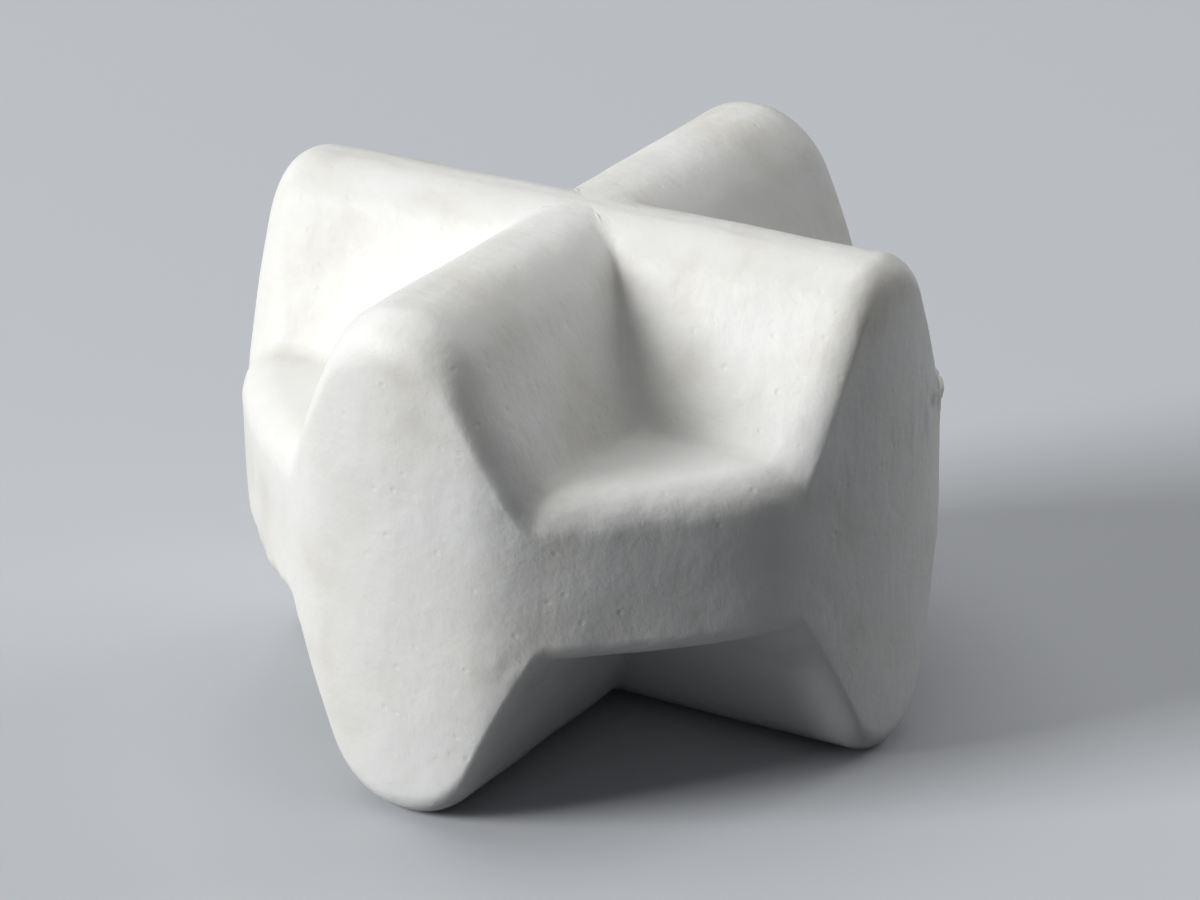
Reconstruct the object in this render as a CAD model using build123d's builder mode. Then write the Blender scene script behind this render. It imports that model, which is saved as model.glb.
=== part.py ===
from build123d import *
import math
import os

# Double cross-head magnetic stir bar: a white PTFE body pressed round a bar magnet.
# Sizes are millimetres. +Z is up, and the origin lies under the middle of the bar,
# on the surface that its lower cross stands on. The sealed magnet lies along Y.

# Overall sizes of the PTFE body
span_x = 25.0                   # across the two arms that lie along X
span_y = 26.6                   # across the two arms that lie along Y
height = 18.7                   # from the lower cross to the upper cross

# Outline seen from above: four bowed end faces joined by four shallower web walls
end_face_bow_radius = 14.3
end_face_half_width = 6.2
web_wall_reach = 12.45          # from the centre to the middle of a web wall
outline_blend_radius = 3.0      # where an end face runs into a web wall

# Ridges of the two crosses, and the valleys between them
crest_half_width = 1.7          # of a ridge at its crest, before the crest is rounded
foot_half_width = 5.1           # of a ridge where it meets the valley floor
crest_radius = 2.2
crest_corner_radius = 0.4       # where two ridges cross, at their crests
valley_corner_radius = 1.9      # where two ridges cross, at the valley floor
floor_radius = 1.4              # where a flank meets the valley floor
web_thickness = 5.7             # of the disc between the upper and the lower valleys
rim_radius = 0.95               # round the ends of the ridges and the lips of the web

# Magnet, and the sealed cavity that fits it
magnet_diameter = 6.0
magnet_length = 20.0
magnet_chamfer = 0.4
magnet_clearance = 0.05         # between the magnet and the PTFE pressed round it

mid_height = height / 2
floor_height = web_thickness / 2        # of a valley floor, from the middle of the body
valley_depth = mid_height - floor_height
inner_reach = 0.9 * min(span_x, span_y) / 2     # faces and edges beyond it are on the outer wall
upright_slack = 0.001           # how far from upright a face or an edge may lean

middle_plane = Plane.XY.offset(mid_height)
upper_crest_plane = Plane(origin=(0, 0, height), z_dir=(0, 0, 1))
lower_crest_plane = Plane(origin=(0, 0, 0), z_dir=(0, 0, -1))
magnet_plane = Plane(origin=(0, 0, mid_height), z_dir=(0, 1, 0))


def end_face_corner(reach):
    """Distance from the centre, along its arm, of the corner where an end face stops."""
    bow_centre = reach - end_face_bow_radius
    return bow_centre + math.sqrt(end_face_bow_radius**2 - end_face_half_width**2)


def body_outline():
    """Outline of the body from above: four end faces and four web walls."""
    corner_x = end_face_corner(span_x / 2)
    corner_y = end_face_corner(span_y / 2)
    web_middle = web_wall_reach / math.sqrt(2)
    end_face_x = ThreePointArc(
        (corner_x, -end_face_half_width), (span_x / 2, 0), (corner_x, end_face_half_width)
    )
    web_wall = ThreePointArc(
        end_face_x @ 1, (web_middle, web_middle), (end_face_half_width, corner_y)
    )
    end_face_y = ThreePointArc(
        web_wall @ 1, (0, span_y / 2), (-end_face_half_width, corner_y)
    )
    opposite_web_wall = mirror(web_wall, about=Plane.YZ)
    mirror(opposite_web_wall, about=Plane.XZ)
    mirror(web_wall, about=Plane.XZ)
    mirror(end_face_x, about=Plane.YZ)
    mirror(end_face_y, about=Plane.XZ)


def valley_section(ridge_half_width, corner_radius):
    """Section of one valley: all that lies outside two ridges, its inner corner rounded."""
    side = max(span_x, span_y)
    with Locations((ridge_half_width, ridge_half_width)):
        Rectangle(side, side, align=(Align.MIN, Align.MIN))
    inner_corner = vertices().sort_by_distance((0, 0, 0))[0]
    fillet(inner_corner, radius=corner_radius)


def from_axis(shape):
    """Distance of a shape's centre from the body's upright axis."""
    return math.hypot(shape.center().X, shape.center().Y)


def inner_edges(body, level):
    """Edges of a level face that lie inside the body's outer wall."""
    level_edges = body.edges().filter_by_position(Axis.Z, level, level)
    return level_edges.filter_by(lambda edge: from_axis(edge) < inner_reach)


def rim_edges(body):
    """Edges that bound the upright outer wall, without the seams between its parts."""
    upright = body.faces().filter_by(lambda face: abs(face.normal_at().Z) < upright_slack)
    wall = upright.filter_by(lambda face: from_axis(face) > inner_reach)
    return wall.edges().filter_by(lambda edge: abs(edge.tangent_at(0.5).Z) < 1 - upright_slack)


with BuildPart() as magnet:
    with BuildSketch(magnet_plane):
        Circle(magnet_diameter / 2)
    extrude(amount=magnet_length / 2, both=True)
    chamfer(magnet.edges().filter_by(GeomType.CIRCLE), length=magnet_chamfer)

with BuildPart() as ptfe_jacket:
    with BuildSketch(middle_plane):
        with BuildLine():
            body_outline()
        make_face()
        fillet(vertices(), radius=outline_blend_radius)
    extrude(amount=mid_height, both=True)

    for crest_plane in (upper_crest_plane, lower_crest_plane):
        for quarter in range(4):
            section_plane = crest_plane.rotated((0, 0, 90 * quarter))
            with BuildSketch(section_plane):
                valley_section(crest_half_width, crest_corner_radius)
            with BuildSketch(section_plane.offset(-valley_depth)):
                valley_section(foot_half_width, valley_corner_radius)
            loft(ruled=True, mode=Mode.SUBTRACT)

    for crest_level in (0, height):
        fillet(inner_edges(ptfe_jacket, crest_level), radius=crest_radius)
    for floor_level in (mid_height - floor_height, mid_height + floor_height):
        fillet(inner_edges(ptfe_jacket, floor_level), radius=floor_radius)
    fillet(rim_edges(ptfe_jacket), radius=rim_radius)

    with BuildSketch(magnet_plane):
        Circle(magnet_diameter / 2 + magnet_clearance)
    extrude(amount=magnet_length / 2 + magnet_clearance, both=True, mode=Mode.SUBTRACT)

magnet.part.label = "magnet"
ptfe_jacket.part.label = "ptfe_jacket"

os.makedirs("parts", exist_ok=True)
export_step(magnet.part, "parts/magnet.step")
export_step(ptfe_jacket.part, "parts/ptfe_jacket.step")
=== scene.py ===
import math

import bpy
import numpy as np
from mathutils import Matrix, Vector, noise


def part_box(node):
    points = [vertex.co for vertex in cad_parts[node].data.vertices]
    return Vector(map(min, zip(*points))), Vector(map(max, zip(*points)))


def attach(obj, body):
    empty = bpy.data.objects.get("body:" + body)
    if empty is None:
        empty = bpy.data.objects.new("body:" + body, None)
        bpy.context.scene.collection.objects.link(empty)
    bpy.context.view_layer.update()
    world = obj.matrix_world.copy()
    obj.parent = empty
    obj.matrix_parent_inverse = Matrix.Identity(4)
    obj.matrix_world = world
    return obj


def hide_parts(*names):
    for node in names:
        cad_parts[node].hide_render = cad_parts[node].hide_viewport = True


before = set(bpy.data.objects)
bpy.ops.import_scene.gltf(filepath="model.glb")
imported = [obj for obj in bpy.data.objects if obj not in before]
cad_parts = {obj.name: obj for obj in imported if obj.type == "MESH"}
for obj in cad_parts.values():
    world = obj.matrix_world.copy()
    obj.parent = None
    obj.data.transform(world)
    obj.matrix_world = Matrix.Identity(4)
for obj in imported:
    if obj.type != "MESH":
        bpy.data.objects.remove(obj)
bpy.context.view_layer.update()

MM = 0.001

# The PTFE body, taken from the frame
body_low, body_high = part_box("ptfe_jacket")
REACH_X = (body_high[0] - body_low[0]) / 2
REACH_Y = (body_high[1] - body_low[1]) / 2
HALF_HEIGHT = (body_high[2] - body_low[2]) / 2
MIDDLE = Vector(((body_low[0] + body_high[0]) / 2, (body_low[1] + body_high[1]) / 2,
                 (body_low[2] + body_high[2]) / 2))

# Ridges, valleys and edges of the PTFE body
CREST_RADIUS_X = 2.45 * MM              # of the arms along X
CREST_RADIUS_Y = 2.9 * MM               # of the arms along Y
CREST_FLAT = 0.12 * MM                  # half width of the flat along a crest
FOOT_HALF_WIDTH = 5.1 * MM
FLOOR_HEIGHT = 2.85 * MM                # of a lower valley's floor, from the middle
FLOOR_HEIGHT_UPPER = 3.3 * MM           # of an upper valley's floor
FLOOR_BLEND = 0.5 * MM
CORNER_BLEND_TOP = 0.25 * MM            # where two ridges meet, at the crests
CORNER_BLEND_FOOT = 2.4 * MM            # where two ridges meet, at the floor
CORNER_BLEND_GROWTH = 1.5               # above 1 keeps the corner sharp for longer
ARM_CHANGE = 4 * MM                     # over which an arm takes on the rim of its own pair
RIM_RADIUS_CREST = 1.05 * MM            # round the upright wall's edge, at the crests
RIM_RADIUS_WORN = 1.75 * MM             # the same, at the upper crests of the arms along Y
RIM_RADIUS_LIP = 1.4 * MM               # round the same edge, at the upper lips of the web
RIM_RADIUS_UNDER = 0.85 * MM            # and at the lower lips
END_FACE_BOW_RADIUS = 14.3 * MM
WEB_REACH = 12.45 * MM
WEB_BOW = 0.55                          # 1 is a flat web wall, and 0 is one round about the axis
OUTLINE_BLEND = 0.35 * MM
CREST_ZONE = 0.02                       # share of the depth that counts as a crest
SHARP = 1e-9                            # blend height where two crests simply cross

# Marks of pressing and use
UNEVENNESS = 0.045 * MM                 # slow waviness of the whole surface
FLASH_HEIGHT = 0.28 * MM                # ragged flash that stands proud of the lips
WORN_DEPTH = 0.35 * MM                  # of the worn stretch of one lower lip
WORN_DIRECTION = 207                    # degrees round +Z from +X, middle of that stretch
WORN_SPREAD = 26                        # degrees to each side of it
WORN_FLASH_SPREAD = 40                  # the same, for the flash about the worn stretch
WORN_FLASH_SHARE = 0.6
FLASH_DIRECTION = 28                    # middle of the stretch of upper lip with most flash
FLASH_SPREAD = 24
FLASH_SHARE_ALL_ROUND = 0.16
FLASH_GRAIN = 0.75 * MM                 # size of its ragged pieces
FLASH_BIAS = 0.25                       # raises the noise, so that more of the lip has flash
LIP_WIDTH = 0.5 * MM                    # inwards from the wall, that flash and wear reach
LIP_HEIGHT = 0.9 * MM                   # above and below the lip
WAVE_SIZE = 3.5 * MM

FLOOR_REACH = 1.6                       # metres, from the middle of the studio floor to its sides

# Mesh density of the PTFE body
STEPS_ROUND = 480
STEPS_OUT = 64
STEPS_UP = 24
RING_CROWDING = 1.15                    # above 1 draws the rings in towards the middle

# Marks in the PTFE material: noise scales per metre, and bumps as (height, strength)
CLOUD_SCALE = 260
GRAIN_SCALE = 2400
GRAIN_BUMP = (0.06 * MM, 0.45)
FIBRE_TURN = (0.5, 0.3, 0.7)            # radians
FIBRE_SCALE = (900, 2600, 900)
FIBRE_BUMP = (0.08 * MM, 0.22)
PIT_SCALE = 1100
PIT_SIZE = 0.16                         # of a pit, as a share of its cell
PIT_BUMP = (0.05 * MM, 0.35)
SWELL_SCALE = 520
SWELL_BUMP = (0.16 * MM, 0.4)
SMOOTHEST, ROUGHEST = 0.34, 0.56        # roughness of the surface, from grain to grain

# Marks in the magnet's material
MAGNET_GRAIN_SCALE = 900
MAGNET_BUMP = (0.03 * MM, 0.4)

# Camera, from the viewing angle of the picture that the part follows
AZIMUTH = 31.75                         # degrees
ELEVATION = 23.4
ROLL = -1.0
DISTANCE = 176.8 * MM
LENS = 145.9                            # millimetres on a 36 mm sensor
AIM_RIGHT = 0.31 * MM
AIM_UP = -0.31 * MM

# Lamps: direction from the body as parts to the right of the picture, towards the camera and
# up, then side length in metres and power in watts
LAMP_DISTANCE = 0.9                     # metres, from the middle of the body
LAMPS = {
    "key": (-1.0, 0.30, 0.52, 0.38, 7.7),
    "top": (-0.1, -0.35, 1.0, 0.72, 2.3),
    "rim": (1.0, -0.5, 0.7, 0.45, 1.8),
}
WORLD_COLOUR = (0.93, 0.95, 1.0, 1)     # of the even light from all round
WORLD_STRENGTH = 0.09

# Floor colours: what the camera sees, and what lights the body from below
FLOOR_SEEN = (0.62, 0.64, 0.67, 1)
FLOOR_THROWN = (0.11, 0.12, 0.135, 1)


# ---------------------------------------------------------------- small helpers

def smooth_max(a, b, blend):
    """The larger of two fields, with the crease between them filled over the blend height."""
    share = np.clip(0.5 + 0.5 * (a - b) / blend, 0, 1)
    return b + (a - b) * share + blend * share * (1 - share)


def smooth_min(a, b, blend):
    return -smooth_max(-a, -b, blend)


def fractal(points, scale, octaves, seed):
    """Fractal noise from -1 to 1 at points in metres, for features about scale across."""
    offset = Vector((seed, 1.7 * seed, -0.6 * seed))
    return np.array([
        noise.fractal(Vector(p) / scale + offset, 1.0, 2.0, octaves) for p in points
    ])


def new_object(name, vertices, faces):
    mesh = bpy.data.meshes.new(name)
    mesh.from_pydata([tuple(v) for v in vertices], [], [tuple(f) for f in faces])
    mesh.update()
    piece = bpy.data.objects.new(name, mesh)
    bpy.context.scene.collection.objects.link(piece)
    return piece


# ---------------------------------------------------------------- PTFE body

def ridge_profile(across, crest_radius):
    """Height above the middle of one ridge, at a distance across from its mid plane."""
    crest_centre = HALF_HEIGHT - crest_radius
    run = FOOT_HALF_WIDTH - CREST_FLAT
    rise = HALF_HEIGHT - FLOOR_HEIGHT
    to_foot = math.hypot(run, crest_centre - FLOOR_HEIGHT)
    lean = math.atan2(run, rise - crest_radius) - math.asin(crest_radius / to_foot)
    tangent_across = CREST_FLAT + crest_radius * math.cos(lean)
    tangent_height = crest_centre + crest_radius * math.sin(lean)
    past_flat = np.clip(across - CREST_FLAT, 0, crest_radius)
    crest = crest_centre + np.sqrt(crest_radius**2 - past_flat**2)
    flank = tangent_height - (across - tangent_across) / math.tan(lean)
    return np.where(across < tangent_across, crest, flank)


def outline_reach(angle):
    """Distance from the axis to the upright wall, in each direction round the body."""
    from_x_arm = np.abs((angle + math.pi / 4) % (math.pi / 2) - math.pi / 4)
    on_x_arm = np.abs(np.cos(angle)) >= np.abs(np.sin(angle))
    arm_reach = np.where(on_x_arm, REACH_X, REACH_Y)
    bow_centre = arm_reach - END_FACE_BOW_RADIUS
    end_face = bow_centre * np.cos(from_x_arm) + np.sqrt(
        END_FACE_BOW_RADIUS**2 - (bow_centre * np.sin(from_x_arm))**2
    )
    web_wall = WEB_REACH / np.cos(math.pi / 4 - from_x_arm) ** WEB_BOW
    return smooth_min(end_face, web_wall, OUTLINE_BLEND)


def rim_drop(inside, crest_rim, lip_rim, depth):
    """How far the surface falls at a rounded rim, a distance inside the upright wall."""
    radius = crest_rim + (lip_rim - crest_rim) * depth**2
    near = np.clip(radius - inside, 0, radius)
    return radius - np.sqrt(radius**2 - near**2)


def half_surface(x, y, inside, floor_height, worn_rim, lip_rim):
    """Height of one half's surface above the middle, with its rim radii on Y arms and lips."""
    on_y_arm = np.clip((np.abs(y) - np.abs(x)) / ARM_CHANGE, 0, 1)
    crest_rim = RIM_RADIUS_CREST + (worn_rim - RIM_RADIUS_CREST) * on_y_arm
    along_x = ridge_profile(np.abs(y), CREST_RADIUS_X)
    along_y = ridge_profile(np.abs(x), CREST_RADIUS_Y)
    depth = (HALF_HEIGHT - np.maximum(along_x, along_y)) / (HALF_HEIGHT - FLOOR_HEIGHT)
    depth = np.clip(depth, 0, 1)
    corner_blend = CORNER_BLEND_TOP + (CORNER_BLEND_FOOT - CORNER_BLEND_TOP) * depth**CORNER_BLEND_GROWTH
    corner_blend = np.where(depth < CREST_ZONE, SHARP, corner_blend)
    ridges = np.minimum(smooth_max(along_x, along_y, corner_blend), HALF_HEIGHT)
    surface = smooth_max(ridges, np.full_like(ridges, floor_height), FLOOR_BLEND)
    surface = np.minimum(surface, HALF_HEIGHT)
    return surface - rim_drop(inside, crest_rim, lip_rim, depth)


def around(points, direction, half_width):
    """1 in the middle of a stretch round the axis, 0 beyond its half width in degrees."""
    angle = np.degrees(np.arctan2(points[:, 1], points[:, 0]))
    away = np.abs((angle - direction + 180) % 360 - 180)
    return np.sqrt(np.clip(1 - away / half_width, 0, 1))


def wear_marks(points):
    """How far each point of the body, measured from its middle, stands out along its normal."""
    reach = outline_reach(np.arctan2(points[:, 1], points[:, 0]))
    inside = reach - np.hypot(points[:, 0], points[:, 1])
    level = np.abs(points[:, 2])
    on_lip = np.exp(-(inside / LIP_WIDTH)**2 - ((level - FLOOR_HEIGHT) / LIP_HEIGHT)**2)
    upper = np.clip(points[:, 2] / MM, 0, 1)
    lower = np.clip(-points[:, 2] / MM, 0, 1)

    ragged = np.clip(fractal(points, FLASH_GRAIN, octaves=4, seed=3.1) + FLASH_BIAS, 0, 1)
    share_upper = upper * around(points, FLASH_DIRECTION, FLASH_SPREAD)
    share_worn = WORN_FLASH_SHARE * lower * around(points, WORN_DIRECTION, WORN_FLASH_SPREAD)
    share = FLASH_SHARE_ALL_ROUND + share_upper + share_worn
    flash = FLASH_HEIGHT * ragged * share * on_lip
    worn = WORN_DEPTH * lower * around(points, WORN_DIRECTION, WORN_SPREAD) * on_lip
    waves = UNEVENNESS * fractal(points, WAVE_SIZE, octaves=2, seed=7.7)
    return flash - worn + waves


def add_wear(body):
    """Moves the body's points by its wear marks, and keeps their heights within the CAD body's box."""
    count = len(body.data.vertices)
    points = np.empty(count * 3)
    normals = np.empty(count * 3)
    body.data.vertices.foreach_get("co", points)
    body.data.vertices.foreach_get("normal", normals)
    points = points.reshape(-1, 3)
    normals = normals.reshape(-1, 3)
    moved = points + normals * wear_marks(points - np.array(MIDDLE))[:, None]
    moved[:, 2] = np.clip(moved[:, 2], body_low[2], body_high[2])
    body.data.vertices.foreach_set("co", moved.ravel())
    body.data.update()


def ptfe_body():
    """The pressed body: upper surface, upright wall and lower surface in one closed mesh."""
    angle = np.linspace(0, 2 * math.pi, STEPS_ROUND, endpoint=False)
    reach = outline_reach(angle)
    share = np.sin(np.linspace(0, 1, STEPS_OUT + 1)[1:] * math.pi / 2) ** RING_CROWDING
    radius = reach[None, :] * share[:, None]
    x = radius * np.cos(angle)[None, :]
    y = radius * np.sin(angle)[None, :]
    inside = reach[None, :] - radius
    upper = half_surface(x, y, inside, FLOOR_HEIGHT_UPPER, RIM_RADIUS_WORN, RIM_RADIUS_LIP)
    lower = -half_surface(x, y, inside, FLOOR_HEIGHT, RIM_RADIUS_CREST, RIM_RADIUS_UNDER)

    rings = [np.stack([x[i], y[i], upper[i]], -1) for i in range(STEPS_OUT)]
    for step in range(1, STEPS_UP):
        level = upper[-1] + (lower[-1] - upper[-1]) * step / STEPS_UP
        rings.append(np.stack([x[-1], y[-1], level], -1))
    rings += [np.stack([x[i], y[i], lower[i]], -1) for i in reversed(range(STEPS_OUT))]

    crown = np.array([[0, 0, HALF_HEIGHT]])
    vertices = np.concatenate([crown] + rings + [-crown])
    faces = []
    for ring in range(len(rings) - 1):
        start = 1 + ring * STEPS_ROUND
        for i in range(STEPS_ROUND):
            j = (i + 1) % STEPS_ROUND
            faces.append((start + i, start + STEPS_ROUND + i, start + STEPS_ROUND + j, start + j))
    last = len(vertices) - 1
    last_ring = last - STEPS_ROUND
    for i in range(STEPS_ROUND):
        j = (i + 1) % STEPS_ROUND
        faces.append((0, 1 + i, 1 + j))
        faces.append((last, last_ring + j, last_ring + i))

    vertices = vertices + np.array(MIDDLE)
    body = new_object("ptfe_body", vertices, faces)
    for polygon in body.data.polygons:
        polygon.use_smooth = True
    add_wear(body)
    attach(body, "root")
    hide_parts("ptfe_jacket")
    return body


# ---------------------------------------------------------------- materials

def node_material(name):
    material = bpy.data.materials.new(name)
    material.use_nodes = True
    return material, material.node_tree.nodes, material.node_tree.links


def noise_node(nodes, links, coordinates, scale, detail, roughness=0.5):
    texture = nodes.new("ShaderNodeTexNoise")
    texture.inputs["Scale"].default_value = scale
    texture.inputs["Detail"].default_value = detail
    texture.inputs["Roughness"].default_value = roughness
    links.new(coordinates, texture.inputs["Vector"])
    return texture.outputs["Fac"]


def ramp_node(nodes, links, value, stops):
    ramp = nodes.new("ShaderNodeValToRGB")
    links.new(value, ramp.inputs["Fac"])
    elements = ramp.color_ramp.elements
    for element, (position, colour) in zip(elements, (stops[0], stops[-1])):
        element.position = position
        element.color = colour
    for position, colour in stops[1:-1]:
        element = elements.new(position)
        element.color = colour
    return ramp.outputs["Color"]


def bump_node(nodes, links, height, distance, strength, normal=None):
    bump = nodes.new("ShaderNodeBump")
    bump.inputs["Distance"].default_value = distance
    bump.inputs["Strength"].default_value = strength
    links.new(height, bump.inputs["Height"])
    if normal is not None:
        links.new(normal, bump.inputs["Normal"])
    return bump.outputs["Normal"]


def stretched(nodes, links, coordinates, rotation, scale):
    """Coordinates squeezed along one direction, so that noise on them becomes fibres."""
    mapping = nodes.new("ShaderNodeMapping")
    mapping.inputs["Rotation"].default_value = rotation
    mapping.inputs["Scale"].default_value = scale
    links.new(coordinates, mapping.inputs["Vector"])
    return mapping.outputs["Vector"]


def pit_heights(nodes, links, coordinates):
    """Height field of small scattered pits: 1 on the surface, 0 at a pit's bottom."""
    cells = nodes.new("ShaderNodeTexVoronoi")
    cells.inputs["Scale"].default_value = PIT_SCALE
    links.new(coordinates, cells.inputs["Vector"])
    return ramp_node(nodes, links, cells.outputs["Distance"], (
        (0, (0, 0, 0, 1)),
        (PIT_SIZE, (1, 1, 1, 1)),
    ))


def ptfe_material():
    material, nodes, links = node_material("ptfe_white")
    shader = nodes["Principled BSDF"]
    position = nodes.new("ShaderNodeTexCoord").outputs["Object"]

    shader.inputs["IOR"].default_value = 1.35
    shader.inputs["Subsurface Weight"].default_value = 0.3
    shader.inputs["Subsurface Scale"].default_value = 1.0 * MM
    shader.inputs["Subsurface Radius"].default_value = (1.0, 0.92, 0.78)

    cloud = noise_node(nodes, links, position, CLOUD_SCALE, 4)
    colour = ramp_node(nodes, links, cloud, (
        (0.30, (0.80, 0.785, 0.735, 1)),
        (0.45, (0.88, 0.875, 0.84, 1)),
        (0.65, (0.92, 0.92, 0.90, 1)),
    ))
    links.new(colour, shader.inputs["Base Color"])

    grain = noise_node(nodes, links, position, GRAIN_SCALE, 5, 0.62)
    shine = nodes.new("ShaderNodeMapRange")
    shine.inputs["To Min"].default_value = SMOOTHEST
    shine.inputs["To Max"].default_value = ROUGHEST
    links.new(grain, shine.inputs["Value"])
    links.new(shine.outputs["Result"], shader.inputs["Roughness"])

    along_fibres = stretched(nodes, links, position, FIBRE_TURN, FIBRE_SCALE)
    fibres = noise_node(nodes, links, along_fibres, 1, 3, 0.6)
    pits = pit_heights(nodes, links, position)
    swell = noise_node(nodes, links, position, SWELL_SCALE, 2)
    normal = bump_node(nodes, links, grain, *GRAIN_BUMP)
    normal = bump_node(nodes, links, fibres, *FIBRE_BUMP, normal)
    normal = bump_node(nodes, links, pits, *PIT_BUMP, normal)
    normal = bump_node(nodes, links, swell, *SWELL_BUMP, normal)
    links.new(normal, shader.inputs["Normal"])
    return material


def magnet_material():
    material, nodes, links = node_material("alnico_grey")
    shader = nodes["Principled BSDF"]
    position = nodes.new("ShaderNodeTexCoord").outputs["Object"]
    shader.inputs["Metallic"].default_value = 1.0
    shader.inputs["Roughness"].default_value = 0.45
    grain = noise_node(nodes, links, position, MAGNET_GRAIN_SCALE, 4, 0.6)
    colour = ramp_node(nodes, links, grain, (
        (0.35, (0.26, 0.26, 0.27, 1)),
        (0.65, (0.36, 0.36, 0.37, 1)),
    ))
    links.new(colour, shader.inputs["Base Color"])
    links.new(bump_node(nodes, links, grain, *MAGNET_BUMP), shader.inputs["Normal"])
    return material


def floor_material():
    """Pale to the camera, and duller in the light that it throws back on the body."""
    material, nodes, links = node_material("pale_floor")
    shader = nodes["Principled BSDF"]
    shader.inputs["Roughness"].default_value = 0.6
    rays = nodes.new("ShaderNodeLightPath")
    seen = nodes.new("ShaderNodeMath")
    seen.operation = "MAXIMUM"
    links.new(rays.outputs["Is Camera Ray"], seen.inputs[0])
    links.new(rays.outputs["Is Glossy Ray"], seen.inputs[1])
    colour = ramp_node(nodes, links, seen.outputs["Value"], (
        (0, FLOOR_THROWN),
        (1, FLOOR_SEEN),
    ))
    links.new(colour, shader.inputs["Base Color"])
    return material


# ---------------------------------------------------------------- stage, light, camera

def stage_floor():
    """A flat pale floor under the body, wide enough to fill the picture."""
    corners = [(-FLOOR_REACH, -FLOOR_REACH, 0), (FLOOR_REACH, -FLOOR_REACH, 0),
               (FLOOR_REACH, FLOOR_REACH, 0), (-FLOOR_REACH, FLOOR_REACH, 0)]
    floor = new_object("floor", corners, [(0, 1, 2, 3)])
    floor.data.materials.append(floor_material())


def area_light(name, direction, size, power):
    """A soft square lamp that looks at the body from a direction."""
    lamp = bpy.data.lights.new(name, "AREA")
    lamp.size = size
    lamp.energy = power
    holder = bpy.data.objects.new(name, lamp)
    towards = Vector(direction).normalized()
    holder.location = MIDDLE + towards * LAMP_DISTANCE
    holder.rotation_mode = "QUATERNION"
    holder.rotation_quaternion = towards.to_track_quat("Z", "Y")
    bpy.context.scene.collection.objects.link(holder)


def view_axes():
    """Right, up and back directions of the camera before its roll."""
    azimuth = math.radians(AZIMUTH)
    elevation = math.radians(ELEVATION)
    right = Vector((math.cos(azimuth), math.sin(azimuth), 0))
    back = Vector((math.sin(azimuth) * math.cos(elevation),
                   -math.cos(azimuth) * math.cos(elevation), math.sin(elevation)))
    return right, back.cross(right), back


def studio_light():
    right, _, back = view_axes()
    near = Vector((back.x, back.y, 0)).normalized()
    above = Vector((0, 0, 1))
    for name, (to_right, to_near, to_above, size, power) in LAMPS.items():
        direction = right * to_right + near * to_near + above * to_above
        area_light(name, direction, size, power)
    world = bpy.data.worlds.new("studio")
    world.use_nodes = True
    background = world.node_tree.nodes["Background"]
    background.inputs["Color"].default_value = WORLD_COLOUR
    background.inputs["Strength"].default_value = WORLD_STRENGTH
    bpy.context.scene.world = world


def picture_camera():
    right, up, back = view_axes()
    roll = math.radians(ROLL)
    rolled_right = right * math.cos(roll) + up * math.sin(roll)
    rolled_up = up * math.cos(roll) - right * math.sin(roll)
    camera = bpy.data.cameras.new("camera")
    camera.lens = LENS
    camera.sensor_width = 36
    camera.clip_start = 0.01
    camera.clip_end = 10
    holder = bpy.data.objects.new("camera", camera)
    place = MIDDLE + right * AIM_RIGHT + up * AIM_UP + back * DISTANCE
    turn = Matrix((rolled_right, rolled_up, back)).transposed().to_4x4()
    holder.matrix_world = Matrix.Translation(place) @ turn
    bpy.context.scene.collection.objects.link(holder)
    bpy.context.scene.camera = holder


# ---------------------------------------------------------------- scene

body = ptfe_body()
body.data.materials.append(ptfe_material())
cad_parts["magnet"].material_slots[0].material = magnet_material()
stage_floor()
studio_light()
picture_camera()
bpy.context.scene.view_settings.view_transform = "Standard"
